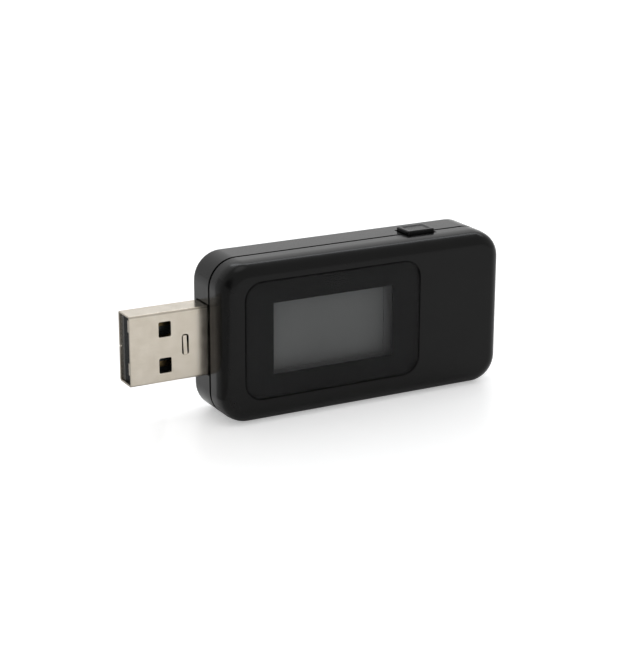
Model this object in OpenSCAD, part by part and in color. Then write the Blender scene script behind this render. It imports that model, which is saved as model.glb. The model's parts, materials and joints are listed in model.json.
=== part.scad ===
// Pass-through USB power meter: a two-shell plastic case standing on its long edge, with a plug at
// one end (-X), a socket at the other (+X), a display behind a lens in the front (-Y) and one key on top.
// Every module is drawn in case coordinates: x from the plug end, y back from the front face, z up.

/* [Case] */
// Length of the case without the plug
case_l = 53.5; // [53.5:0.1:54]
// Height of the case as it stands on its long edge
case_h = 27.4; // [27.4:0.1:28]
// Thickness from the front face to the back face
case_t = 12.4; // [12.4:0.1:12.8]
// Radius of the four corners seen from the front
corner_r = 4.8; // [4.7:0.1:5.2]
// Fillet round the front face
front_fillet = 1.9; // [1.5:0.1:2.1]
// How far the front cover's side leans in before its fillet
front_lean = 0.15; // [0.05:0.05:0.2]
// Fillet round the back face
rear_fillet = 1.3; // [0.8:0.1:2]
// Depth of the parting line behind the front face
part_y = 5.6; // [5.5:0.05:5.7]
// Gap that shows as the parting line
seam = 0.16; // [0.08:0.02:0.2]
// Thickness of the side walls
wall = 1.5; // [1.4:0.05:1.5]

/* [Lens] */
// Left edge of the lens
lens_x = 4.0; // [3.8:0.1:4.2]
// Bottom edge of the lens
lens_z = 4.25; // [4:0.05:4.4]
// Width of the lens
lens_w = 32.8; // [32.6:0.1:33]
// Height of the lens
lens_h = 19.9; // [19.7:0.1:20]
// Corner radius of the lens
lens_r = 3.0; // [2:0.1:3.5]
// Thickness of the lens
lens_t = 1.0; // [0.8:0.05:1]
// Width of the clear window in the black mask
view_w = 22.6; // [21:0.1:22.6]
// Height of the clear window in the black mask
view_h = 12.3; // [11:0.1:12.3]

/* [Plug and socket] */
// Length of plug outside the case
plug_out = 14.0; // [13:0.1:15]
// Width of the plug shell
plug_w = 12.0; // [12:0.05:12.1]
// Thickness of the plug shell
plug_t = 4.5; // [4.4:0.05:4.5]
// Depth of the plug's front side behind the case's front face
plug_y = 5.9; // [5.85:0.05:5.95]
// Width of the socket shell
socket_w = 13.1; // [13:0.05:13.15]
// Thickness of the socket shell
socket_t = 5.6; // [5.5:0.05:5.6]
// Length of the socket
socket_l = 13.9; // [13.5:0.1:14]
// Thickness of the sheet metal of both shells
sheet = 0.3; // [0.25:0.05:0.3]

/* [Key] */
// Length of the key along the case
key_w = 5.3; // [4.8:0.1:5.5]
// Width of the key across the case
key_d = 4.0; // [3.6:0.1:4.2]
// Height of the key above the case
key_up = 0.7; // [0.5:0.05:1]
// Gap round the key
key_gap = 0.2; // [0.15:0.05:0.3]
// Middle of the key from the plug end
key_x = 39.65; // [39.5:0.05:39.8]
// Middle of the key behind the front face
key_y = 6.3; // [6.2:0.05:6.4]

/* [Hidden] */
$fn = 64;
eps = 0.01;

// Case
mid_z = case_h / 2;
front_wall = 2.0;                       // front wall, thick enough to take the lens pocket
lean_y = 3.6;                           // the front cover's side is upright behind this depth
rear_wall = 1.3;
rear_floor = case_t - rear_wall;        // inner face of the rear cover
lip_gap = 0.1;                          // between the front cover's lip and the rear cover's wall
lip_t = 0.7;
lip_len = 1.0;
lip_root = 1.2;                         // the lip's root inside the front cover

// Lens pocket and the black mask behind the lens
lens_gap = 0.1;
mask_t = 0.12;
pocket_y = lens_t + mask_t;
view_x = lens_x + 5.5;
view_z = lens_z + 3.55;

// Display stack: depths of the faces, from the front
bezel_y = 3.0;
film_y = 3.2;
front_glass_y = 3.4;
rear_glass_y = 3.95;
rear_film_y = 4.5;
guide_y = 4.65;
mirror_y = 5.65;
mirror_t = 0.1;
frame_back_y = 6.0;
glass_x0 = view_x - 0.3;
glass_x1 = view_x + view_w + 1.1;
glass_z0 = view_z - 1.1;
glass_z1 = view_z + view_h + 1.0;
ledge_x = 7.0;                          // left edge of the rear glass, where the flex is bonded
frame_x0 = 8.4;
frame_x1 = glass_x1 + 1.0;
frame_z0 = glass_z0 - 0.6;
frame_z1 = glass_z1 + 0.6;

// Circuit board
board_y = 7.55;
board_t = 1.2;
board_back = board_y + board_t;
board_x0 = 3.0;
board_x1 = 51.0;
board_z0 = 3.0;
board_z1 = case_h - 3.0;
post_r = 1.4;
pin_r = 0.6;
pin_gap = 0.05;
pin_end = 5.2;                          // front end of the rear cover's pins
hole_r = 0.75;
posts = [for (x = [6.8, 49.5]) for (z = [4.5, case_h - 4.5]) [x, z]];

// Plug
plug_mid = plug_y + plug_t / 2;
plug_back = 4.3;                        // inner end of the plug shell
plug_r = 0.5;
void_t = 1.95;                          // open half of the plug, in front of the tongue
tongue_y = plug_y + sheet + void_t;
window_from_tip = 5.16;
window_l = 2.12;
window_w = 2.52;
window_r = 0.25;
window_pitch = 6.15;
contact_w = 1.0;
contact_t = 0.2;
contact_offsets = [-3.5, -1.0, 1.0, 3.5];
tail_y = board_y - contact_t;
tab_reach = 6.8;                        // the shell's solder tabs end here
lance_x = -4.75;                        // the slot that the lanced tab is cut from
lance_w = 1.15;
lance_h = 3.4;
fit_gap = 0.1;                          // round the plug and socket where they leave the case

// Socket
socket_mouth = case_l - 0.2;
socket_back = socket_mouth - socket_l;
socket_y = plug_mid - socket_t / 2;
socket_r = 0.6;
tongue_w = 11.1;
tongue_t = 1.84;
tongue_recess = 2.4;                    // from the socket's mouth to the tongue's tip
socket_tongue_y = plug_y + sheet + 0.05;

// Key and switch under it
switch_w = 6.0;
switch_y0 = 4.25;
switch_y1 = 7.35;
switch_z0 = 20.7;
switch_z1 = 23.9;
switch_mid_y = (switch_y0 + switch_y1) / 2;
plate_t = 0.2;
cap_bottom = case_h - 2.2;              // the cap rests on the plunger here
flange_w = 0.5;
flange_t = 0.5;
dome_z = switch_z1 - 2.0;
dome_h = 0.75;
dome_r = 1.0;
dome_t = 0.1;

// ---------------------------------------------------------------------------- helpers

// Moves case coordinates to the row frame: origin under the middle of plug and case together.
module placed() {
    translate([-(case_l - plug_out) / 2, -case_t / 2, 0]) children();
}

module box(x0, x1, y0, y1, z0, z1) {
    translate([x0, y0, z0]) cube([x1 - x0, y1 - y0, z1 - z0]);
}

// Rectangle with true round corners, its lower left corner at the origin.
module round_rect(w, h, r) {
    translate([r, 0]) square([w - 2 * r, h]);
    translate([0, r]) square([w, h - 2 * r]);
    for (x = [r, w - r]) for (y = [r, h - r]) translate([x, y]) circle(r);
}

// Plate parallel to the front face, from depth y0 to y1.
module plate(x0, x1, z0, z1, y0, y1, r = 0) {
    translate([x0, y1, z0]) rotate([90, 0, 0]) linear_extrude(y1 - y0)
        if (r > 0) round_rect(x1 - x0, z1 - z0, r);
        else square([x1 - x0, z1 - z0]);
}

// Plate that follows the case's outline, set in by d all round.
module inset_plate(d, y0, y1) {
    plate(d, case_l - d, d, case_h - d, y0, y1, corner_r - d);
}

// Section through the case's rim: u out from the corner's centre, v back from the face. The side
// leans in by lean in front of lean_y, and the fillet continues it.
module rim_section(depth, fillet, lean) {
    slope = atan(lean / (lean_y - fillet));
    mid_u = corner_r - lean - fillet * cos(slope);
    polygon([
        [0, 0], [mid_u, 0], [mid_u, fillet], [corner_r - lean, fillet * (1 - sin(slope))],
        [corner_r, lean > 0 ? lean_y : fillet], [corner_r, depth], [0, depth]
    ]);
    translate([mid_u, fillet]) circle(fillet);
}

// Half of the case's outer form, its filleted face at y = 0, reaching back by depth.
module filleted_block(depth, fillet, lean) {
    xs = [corner_r, case_l - corner_r];
    zs = [corner_r, case_h - corner_r];
    corners = [[xs[1], zs[1], 0], [xs[0], zs[1], 90], [xs[0], zs[0], 180], [xs[1], zs[0], 270]];
    box(xs[0], xs[1], 0, depth, zs[0], zs[1]);
    // The section's v runs along +y once the revolved corner is turned over.
    for (c = corners) translate([c[0], 0, c[1]]) rotate([-90, 0, 0]) rotate([0, 0, -c[2] - 90])
        rotate_extrude(angle = 90) rim_section(depth, fillet, lean);
    for (x = [0, 1]) translate([xs[x], 0, zs[0]]) mirror([1 - x, 0, 0])
        linear_extrude(zs[1] - zs[0]) rim_section(depth, fillet, lean);
    for (z = [0, 1]) translate([xs[0], 0, zs[z]]) mirror([0, 0, 1 - z])
        rotate([90, 0, 90]) linear_extrude(xs[1] - xs[0]) mirrored_section(depth, fillet, lean);
}

// The rim section with its axes swapped, for the top and bottom walls.
module mirrored_section(depth, fillet, lean) {
    mirror([1, -1]) rim_section(depth, fillet, lean);
}

module ring_plate(d0, d1, y0, y1) {
    difference() {
        inset_plate(d0, y0, y1);
        inset_plate(d1, y0 - eps, y1 + eps);
    }
}

// Post standing on y0 and reaching y1, for cylinders along y.
module post(p, r, y0, y1) {
    translate([p[0], y1, p[1]]) rotate([90, 0, 0]) cylinder(r = r, h = y1 - y0);
}

// Bar along x with rounded edges.
module bar(x0, x1, y0, y1, z0, z1, r) {
    translate([x0, y0, z0]) rotate([90, 0, 90]) linear_extrude(x1 - x0)
        round_rect(y1 - y0, z1 - z0, r);
}

// Sheet-metal tube along x, such as a connector's shell.
module shell_tube(x0, x1, y0, y1, z0, z1, r) {
    difference() {
        bar(x0, x1, y0, y1, z0, z1, r);
        bar(x0 - 1, x1 + 1, y0 + sheet, y1 - sheet, z0 + sheet, z1 - sheet, r - sheet / 2);
    }
}

// ---------------------------------------------------------------------------- case

module key_hole() {
    box(key_x - key_w / 2 - key_gap, key_x + key_w / 2 + key_gap,
        key_y - key_d / 2 - key_gap, key_y + key_d / 2 + key_gap,
        cap_bottom - 1, case_h + 1);
}

// Room for the plug shell and for the socket shell in the end walls.
module end_openings() {
    box(-1, plug_back + 1, plug_y - fit_gap, plug_y + plug_t + fit_gap,
        mid_z - plug_w / 2 - fit_gap, mid_z + plug_w / 2 + fit_gap);
    box(socket_back - 1, case_l + 1, socket_y - fit_gap / 2, socket_y + socket_t + fit_gap / 2,
        mid_z - socket_w / 2 - fit_gap, mid_z + socket_w / 2 + fit_gap);
}

// The lip stops short of the connectors and the key's flange.
module lip_cuts() {
    lip_y = part_y - seam / 2 - lip_root - eps;
    box(wall, wall + 2, lip_y, part_y + 2, mid_z - plug_w / 2 - 0.5, mid_z + plug_w / 2 + 0.5);
    box(case_l - wall - 2, case_l - wall, lip_y, part_y + 2,
        mid_z - socket_w / 2 - 0.5, mid_z + socket_w / 2 + 0.5);
    box(key_x - key_w / 2 - flange_w - 0.3, key_x + key_w / 2 + flange_w + 0.3,
        key_y - key_d / 2 - key_gap, part_y + 2, case_h - wall - 2, case_h - wall);
}

module front_cover() {
    edge = part_y - seam / 2;
    color("#1f1f1f") placed() difference() {
        union() {
            difference() {
                filleted_block(edge, front_fillet, front_lean);
                inset_plate(wall, front_wall, edge + 1);
            }
            difference() {
                union() {
                    ring_plate(wall - 0.1, wall + lip_gap + lip_t, edge - lip_root, edge);
                    ring_plate(wall + lip_gap, wall + lip_gap + lip_t, edge - eps, part_y + lip_len);
                }
                lip_cuts();
            }
            for (p = posts) post(p, post_r, front_wall - eps, board_y);
        }
        plate(lens_x - lens_gap, lens_x + lens_w + lens_gap, lens_z - lens_gap,
              lens_z + lens_h + lens_gap, -1, pocket_y, lens_r + lens_gap);
        plate(view_x - 0.6, view_x + view_w + 0.9, view_z - 0.6, view_z + view_h + 0.6,
              pocket_y - eps, front_wall + eps);
        for (p = posts) post(p, pin_r + pin_gap, pin_end - 0.6, board_y + eps);
        end_openings();
        key_hole();
    }
}

module rear_cover() {
    edge = part_y + seam / 2;
    color("#242424") placed() {
        difference() {
            translate([0, case_t, 0]) mirror([0, 1, 0]) filleted_block(case_t - edge, rear_fillet, 0);
            inset_plate(wall, edge - 1, rear_floor);
            end_openings();
            box(-1, wall + 1, edge - 1, plug_y + 1,
                mid_z - plug_w / 2 - fit_gap, mid_z + plug_w / 2 + fit_gap);
            key_hole();
        }
        for (p = posts) {
            post(p, post_r, board_back, rear_floor);
            post(p, pin_r, pin_end, board_back);
        }
    }
}

// ---------------------------------------------------------------------------- display

module display_lens() {
    color("#101214") placed()
        plate(lens_x, lens_x + lens_w, lens_z, lens_z + lens_h, 0, lens_t, lens_r);
}

module lens_mask() {
    color("#0c0c0d") placed() difference() {
        plate(lens_x, lens_x + lens_w, lens_z, lens_z + lens_h, lens_t, pocket_y, lens_r);
        plate(view_x, view_x + view_w, view_z, view_z + view_h, lens_t - 1, pocket_y + 1);
    }
}

module display_gasket() {
    color("#151515") placed() difference() {
        plate(glass_x0 - 1.2, frame_x1, frame_z0, frame_z1, front_wall, bezel_y);
        plate(view_x - 0.7, view_x + view_w + 1.4, view_z - 1.0, view_z + view_h + 0.9,
              front_wall - 1, bezel_y + 1);
    }
}

module display_bezel() {
    color("#3a3a3a") placed() difference() {
        plate(glass_x0 - 0.6, glass_x1 + 0.4, glass_z0 - 0.4, glass_z1 + 0.4, bezel_y, film_y);
        plate(view_x + 0.5, view_x + view_w - 0.5, view_z, view_z + view_h, bezel_y - 1, film_y + 1);
    }
}

module front_polarizer() {
    color("#5a5c5c") placed()
        plate(glass_x0 + 0.3, glass_x1 - 0.3, glass_z0 + 0.3, glass_z1 - 0.3, film_y, front_glass_y);
}

module front_glass() {
    color("#b9c4c4") placed()
        plate(glass_x0, glass_x1, glass_z0, glass_z1, front_glass_y, rear_glass_y);
}

module rear_glass() {
    color("#b9c4c4") placed()
        plate(ledge_x, glass_x1, glass_z0, glass_z1, rear_glass_y, rear_film_y);
}

module rear_polarizer() {
    color("#4a4d4f") placed()
        plate(glass_x0 + 0.3, glass_x1 - 0.3, glass_z0 + 0.3, glass_z1 - 0.3, rear_film_y, guide_y);
}

module light_guide() {
    color("#e8eef0") placed()
        plate(glass_x0 + 0.3, glass_x1 - 0.8, glass_z0 + 0.3, glass_z1 - 0.3, guide_y, mirror_y);
}

module backlight_reflector() {
    color("#dcdcdc") placed()
        plate(glass_x0 + 0.3, glass_x1, glass_z0 + 0.3, glass_z1 - 0.3, mirror_y, mirror_y + mirror_t);
}

module backlight_leds() {
    led_l = 3.0;
    for (z = [view_z + 2, view_z + view_h / 2, view_z + view_h - 2])
        color("#f2e6a0") placed()
            box(glass_x1 - 0.75, glass_x1, guide_y + 0.05, mirror_y - 0.05, z - led_l / 2, z + led_l / 2);
}

// White moulding that holds the light guide and keeps the glass in place on three sides.
module backlight_frame() {
    color("#f0f0ec") placed() difference() {
        plate(frame_x0, frame_x1, frame_z0, frame_z1, front_glass_y, frame_back_y);
        plate(frame_x0 - 1, glass_x1 + 0.05, glass_z0 - 0.05, glass_z1 + 0.05,
              front_glass_y - 1, rear_film_y);
        plate(glass_x0 + 0.2, glass_x1 + 0.05, glass_z0 + 0.2, glass_z1 - 0.2,
              rear_film_y - eps, mirror_y + mirror_t);
    }
}

// Driver chip on the rear glass's ledge, beside the flex.
module display_driver() {
    color("#2b2b30") placed()
        box(ledge_x + 1.2, glass_x0 - 0.1, rear_glass_y - 0.4, rear_glass_y,
            mid_z - 5.5, mid_z + 5.5);
}

// Flex bonded to the ledge, folded back in a half round to the board.
module display_flex() {
    t = 0.12;
    flex_w = 8;
    fold_x = ledge_x - 0.05;
    bond_l = 1.0;
    top = rear_glass_y - t;
    outer_r = (board_y - top) / 2;
    fold_y = top + outer_r;
    color("#b8702a") placed() translate([0, 0, mid_z - flex_w / 2]) linear_extrude(flex_w) {
        difference() {
            translate([fold_x, fold_y]) circle(outer_r);
            translate([fold_x, fold_y]) circle(outer_r - t);
            translate([fold_x, top - 1]) square([outer_r + 1, 2 * outer_r + 2]);
        }
        translate([fold_x, top]) square([bond_l, t]);
        translate([fold_x, board_y - t]) square([3.5, t]);
    }
}

module display_foam_pad() {
    pad_x = 14;
    pad_l = 16;
    color("#2a2a2a") placed()
        plate(pad_x, pad_x + pad_l, view_z + 1, view_z + view_h - 1, frame_back_y, board_y);
}

// ---------------------------------------------------------------------------- circuit board

module circuit_board() {
    notch = 0.2;
    color("#1d5b3a") placed() difference() {
        plate(board_x0, board_x1, board_z0, board_z1, board_y, board_back, 1);
        box(0, plug_back + 0.1, 0, case_t, mid_z - plug_w / 2 - notch, mid_z + plug_w / 2 + notch);
        for (s = [-1, 1]) translate([0, 0, mid_z + s * (plug_w / 2 - sheet / 2)])
            box(plug_back, tab_reach + notch, 0, case_t, -sheet / 2 - notch, sheet / 2 + notch);
        box(socket_back - notch, case_l, 0, case_t,
            mid_z - socket_w / 2 - notch, mid_z + socket_w / 2 + notch);
        for (p = posts) post(p, hole_r, 0, case_t);
    }
}

// Chip body on the back of the board, standing off by its leads.
module chip_body(x0, z0, w, h, t) {
    color("#202022") placed() plate(x0, x0 + w, z0, z0 + h, board_back + 0.1, board_back + t);
}

// Row of bent leads on both long sides of a chip: n a side, at a pitch, each lead one solid.
module lead_rows(x0, z0, w, h, n, pitch, t) {
    lead_w = 0.4;
    foot = 0.9;
    lead_t = 0.15;
    knee = board_back + t / 2;
    for (s = [0, 1]) translate([0, 0, z0 + s * h]) mirror([0, 0, 1 - s])
        for (i = [0 : n - 1]) translate([x0 + w / 2 + (i - (n - 1) / 2) * pitch - lead_w / 2, 0, 0]) {
            box(0, lead_w, knee - lead_t, knee, 0, foot / 2);
            box(0, lead_w, board_back, knee, foot / 2 - lead_t, foot / 2);
            box(0, lead_w, board_back, board_back + lead_t, foot / 2 - lead_t, foot);
        }
}

// Chips and the shunt: x, z, width, height and the height of the top above the board.
mcu = [14.0, 9.95, 12.8, 7.5, 2.0];
memory = [30.2, 8.4, 4.9, 3.9, 1.6];
amplifier = [30.2, 15.2, 4.9, 3.9, 1.6];
regulator = [10.0, 19.8, 4.5, 2.5, 1.5];
shunt = [19.5, 19.6, 6.4, 3.2, 0.7];

module microcontroller() {
    chip_body(mcu[0], mcu[1], mcu[2], mcu[3], mcu[4]);
}

module memory_chip() {
    chip_body(memory[0], memory[1], memory[2], memory[3], memory[4]);
}

module amplifier_chip() {
    chip_body(amplifier[0], amplifier[1], amplifier[2], amplifier[3], amplifier[4]);
}

module voltage_regulator() {
    chip_body(regulator[0], regulator[1], regulator[2], regulator[3], regulator[4]);
}

module chip_leads() {
    color("#c8c8c8") placed() {
        lead_rows(mcu[0], mcu[1], mcu[2], mcu[3], 10, 1.27, mcu[4]);
        lead_rows(memory[0], memory[1], memory[2], memory[3], 4, 1.27, memory[4]);
        lead_rows(amplifier[0], amplifier[1], amplifier[2], amplifier[3], 4, 1.27, amplifier[4]);
        lead_rows(regulator[0], regulator[1], regulator[2], regulator[3], 3, 1.5, regulator[4]);
    }
}

module current_shunt() {
    color("#3a3a40") placed() plate(shunt[0], shunt[0] + shunt[2], shunt[1], shunt[1] + shunt[3],
                                    board_back, board_back + shunt[4]);
}

// Chip part 1.6 x 0.8 on the back of the board, standing up along z.
module chip_part(x, z, t) {
    box(x - 0.4, x + 0.4, board_back, board_back + t, z - 0.8, z + 0.8);
}

module ceramic_capacitors() {
    color("#b08d5a") placed() {
        for (x = [10.5, 12.0]) for (z = [8.5, 12.5, 16.5]) chip_part(x, z, 0.8);
        for (x = [16.5, 28.3]) chip_part(x, 21.3, 0.8);
    }
}

module chip_resistors() {
    color("#1a1a1a") placed() {
        for (x = [14.5 : 1.6 : 27]) chip_part(x, 6.2, 0.45);
        for (x = [29.8 : 1.6 : 34]) chip_part(x, 21.3, 0.45);
    }
}

// ---------------------------------------------------------------------------- plug

// The pair of latch windows, cut through the front and back of the shell.
module latch_windows() {
    x0 = -plug_out + window_from_tip;
    for (s = [-1, 1]) translate([0, 0, mid_z + s * window_pitch / 2])
        plate(x0, x0 + window_l, -window_w / 2, window_w / 2, plug_y - 1, plug_y + plug_t + 1, window_r);
}

module plug_shell() {
    lance_r = 0.4;
    tab_slack = 0.12;
    lip_w = 2;
    lip_offset = 3.6;
    color("#c9c3b6") placed() {
        difference() {
            shell_tube(-plug_out, plug_back, plug_y, plug_y + plug_t,
                       mid_z - plug_w / 2, mid_z + plug_w / 2, plug_r);
            latch_windows();
            plate(lance_x, lance_x + lance_w, mid_z - lance_h / 2, mid_z + lance_h / 2,
                  plug_y - 1, plug_y + 1, lance_r);
        }
        // Lanced tab, held at its lower end and pressed in at its upper end.
        translate([lance_x + tab_slack, plug_y, mid_z - lance_h / 2 - 0.1]) rotate([-6, 0, 0])
            cube([lance_w - 2 * tab_slack, sheet, lance_h - 0.25]);
        // Two lips folded in at the mouth.
        for (s = [-1, 1])
            translate([0, 0, mid_z + 0.25 + s * lip_offset])
                box(-plug_out, -plug_out + sheet, plug_y + sheet - eps, plug_y + sheet + 0.35,
                    -lip_w / 2, lip_w / 2);
        // Solder tabs that hold the board's edge.
        for (s = [-1, 1]) translate([0, 0, mid_z + s * (plug_w / 2 - sheet / 2)])
            box(plug_back - eps, tab_reach, plug_mid - 1, plug_mid + 1, -sheet / 2, sheet / 2);
    }
}

// Strip, jog and tail of one plug contact.
module plug_contact(tip) {
    jog_x = plug_back - 0.9;
    box(tip, jog_x + contact_t, tongue_y - 0.05, tongue_y - 0.05 + contact_t, 0, contact_w);
    box(jog_x, jog_x + contact_t, tail_y, tongue_y - 0.05 + contact_t, 0, contact_w);
    box(jog_x, tab_reach - 1.2, tail_y, board_y, 0, contact_w);
}

module plug_contact_set() {
    for (z = contact_offsets) translate([0, 0, mid_z + z - contact_w / 2])
        plug_contact(-plug_out + (abs(z) > 2 ? 1.1 : 2.1));
}

module plug_contacts() {
    color("#d8b560") placed() plug_contact_set();
}

module plug_insulator() {
    half_w = plug_w / 2 - sheet - 0.05;
    tip = -plug_out + 0.35;
    back_y = plug_y + plug_t - sheet;
    block_x = -2.0;
    bevel = 0.75;
    rail_w = 0.8;
    rail_t = 0.35;
    color("#646a6a") placed() difference() {
        intersection() {
            union() {
                // Tongue with a bevelled leading edge.
                translate([0, 0, mid_z - half_w]) linear_extrude(2 * half_w) polygon([
                    [tip, tongue_y + bevel], [tip + bevel, tongue_y], [block_x, tongue_y],
                    [block_x, plug_y + sheet], [plug_back, plug_y + sheet], [plug_back, back_y],
                    [tip, back_y]
                ]);
                for (s = [-1, 1]) translate([0, 0, mid_z + s * (half_w - rail_w / 2)])
                    box(tip + bevel, block_x + eps, tongue_y - rail_t, tongue_y + eps,
                        -rail_w / 2, rail_w / 2);
            }
            bar(tip, plug_back, plug_y + sheet, back_y, mid_z - half_w, mid_z + half_w,
                plug_r - sheet / 2);
        }
        plug_contact_set();
        // Room for the lanced tab.
        box(lance_x - 0.45, lance_x + lance_w + 0.4, plug_y, plug_y + sheet + 0.8,
            mid_z - lance_h / 2 - 0.3, mid_z + lance_h / 2 + 0.3);
    }
}

// ---------------------------------------------------------------------------- socket

// Spring tabs of the socket: a three-sided slot round each one.
module spring_slots() {
    slot = 0.25;
    tab_w = 2.0;
    tab_l = 5.0;
    x1 = socket_mouth - 2.0;
    for (s = [-1, 1]) translate([0, 0, mid_z + s * 3.1]) {
        box(x1 - slot, x1, socket_y - 1, socket_y + socket_t + 1, -tab_w / 2 - slot, tab_w / 2 + slot);
        for (e = [-1, 1]) translate([0, 0, e * (tab_w + slot) / 2])
            box(x1 - tab_l, x1, socket_y - 1, socket_y + socket_t + 1, -slot / 2, slot / 2);
    }
}

module socket_shell() {
    foot_x = 44;
    foot_l = 2.0;
    foot_reach = 1.6;
    color("#cfcfcb") placed() {
        difference() {
            shell_tube(socket_back, socket_mouth, socket_y, socket_y + socket_t,
                       mid_z - socket_w / 2, mid_z + socket_w / 2, socket_r);
            spring_slots();
        }
        // Feet bent out over the board's arms.
        for (s = [0, 1]) translate([0, 0, mid_z]) mirror([0, 0, 1 - s])
            box(foot_x, foot_x + foot_l, board_y - sheet, board_y,
                socket_w / 2 - eps, socket_w / 2 + foot_reach);
    }
}

module socket_contact() {
    block_x = socket_back + 0.3;
    jog_x = block_x + 0.6;
    top = socket_tongue_y + tongue_t;
    box(jog_x, socket_mouth - tongue_recess - 0.6, top, top + contact_t, 0, contact_w);
    box(jog_x, jog_x + contact_t, tail_y, top + contact_t, 0, contact_w);
    box(socket_back - 1.6, jog_x + contact_t, tail_y, board_y, 0, contact_w);
}

module socket_contact_set() {
    for (z = contact_offsets) translate([0, 0, mid_z + z - contact_w / 2]) socket_contact();
}

module socket_contacts() {
    color("#d8b560") placed() socket_contact_set();
}

module socket_insulator() {
    block_x = socket_back + 0.3;
    block_l = 1.7;
    half_w = socket_w / 2 - sheet - 0.05;
    color("#151617") placed() difference() {
        union() {
            bar(block_x, block_x + block_l, socket_y + sheet + 0.05, socket_y + socket_t - sheet - 0.05,
                mid_z - half_w, mid_z + half_w, socket_r - sheet / 2);
            box(block_x, socket_mouth - tongue_recess, socket_tongue_y, socket_tongue_y + tongue_t,
                mid_z - tongue_w / 2, mid_z + tongue_w / 2);
        }
        socket_contact_set();
    }
}

// ---------------------------------------------------------------------------- key and switch

module button_cap() {
    x0 = key_x - key_w / 2;
    y0 = key_y - key_d / 2;
    top = case_h + key_up;
    chamfer = 0.4;
    color("#232323") placed() {
        box(x0, x0 + key_w, y0, y0 + key_d, cap_bottom, top - chamfer);
        translate([x0 + key_w / 2, y0 + key_d / 2, top - chamfer]) chamfered_top(key_w, key_d, chamfer);
        box(x0 - flange_w, x0 + key_w + flange_w, y0, y0 + key_d, cap_bottom, cap_bottom + flange_t);
    }
}

// Top of the key, its four edges cut at 45 degrees.
module chamfered_top(w, d, c) {
    intersection() {
        rotate([90, 0, 0]) linear_extrude(d, center = true)
            polygon([[-w / 2, 0], [w / 2, 0], [w / 2 - c, c], [-w / 2 + c, c]]);
        rotate([90, 0, 90]) linear_extrude(w, center = true)
            polygon([[-d / 2, 0], [d / 2, 0], [d / 2 - c, c], [-d / 2 + c, c]]);
    }
}

module switch_housing() {
    color("#2c2c2c") placed() difference() {
        box(key_x - switch_w / 2, key_x + switch_w / 2, switch_y0, switch_y1, switch_z0, switch_z1);
        box(key_x - 2, key_x + 2, switch_mid_y - 1.2, switch_mid_y + 1.2, dome_z, switch_z1 + 1);
    }
}

module switch_cover() {
    color("#c4c4c4") placed() difference() {
        box(key_x - switch_w / 2, key_x + switch_w / 2, switch_y0, switch_y1,
            switch_z1, switch_z1 + plate_t);
        box(key_x - 1.6, key_x + 1.6, switch_mid_y - 0.85, switch_mid_y + 0.85,
            switch_z1 - 1, switch_z1 + 1);
    }
}

// Snap dome: a shallow spherical shell that pops under the plunger.
module switch_dome() {
    cap_r = (dome_r * dome_r + dome_h * dome_h) / (2 * dome_h);
    color("#d0d0d0") placed() translate([key_x, switch_mid_y, dome_z]) intersection() {
        translate([0, 0, dome_h - cap_r]) difference() {
            sphere(cap_r);
            sphere(cap_r - dome_t);
        }
        cylinder(r = 2 * dome_r, h = dome_h + 1);
    }
}

module switch_plunger() {
    foot_z = dome_z + dome_h;
    color("#8c8c8c") placed() {
        box(key_x - 1.4, key_x + 1.4, switch_mid_y - 0.7, switch_mid_y + 0.7, foot_z, cap_bottom);
        box(key_x - 1.8, key_x + 1.8, switch_mid_y - 1, switch_mid_y + 1, foot_z, foot_z + 0.5);
    }
}

module switch_terminals() {
    reach = 1.0;
    color("#c8c8c8") placed()
        for (s = [0, 1]) translate([key_x, 0, 0]) mirror([1 - s, 0, 0])
            for (z = [switch_z0 + 0.4, switch_z1 - 1.1])
                box(switch_w / 2 - 1, switch_w / 2 + reach, board_y - 0.2, board_y, z, z + 0.7);
}

// ---------------------------------------------------------------------------- nodes

front_cover();
rear_cover();
display_lens();
lens_mask();
display_gasket();
display_bezel();
front_polarizer();
front_glass();
rear_glass();
rear_polarizer();
light_guide();
backlight_frame();
backlight_reflector();
backlight_leds();
display_driver();
display_flex();
display_foam_pad();
circuit_board();
microcontroller();
memory_chip();
amplifier_chip();
voltage_regulator();
chip_leads();
current_shunt();
ceramic_capacitors();
chip_resistors();
plug_shell();
plug_insulator();
plug_contacts();
socket_shell();
socket_insulator();
socket_contacts();
button_cap();
switch_housing();
switch_cover();
switch_dome();
switch_plunger();
switch_terminals();
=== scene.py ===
"""Looks of the pass-through USB power meter: it stands on its long edge on a white studio sweep.

Most pieces keep their CAD shape and get materials. Six are built again here with their fine edges:
the two covers, the lens, the key, and the shells of the plug and of the socket.
"""

import json
import math

import bmesh
import bpy
from mathutils import Matrix, Vector


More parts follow.
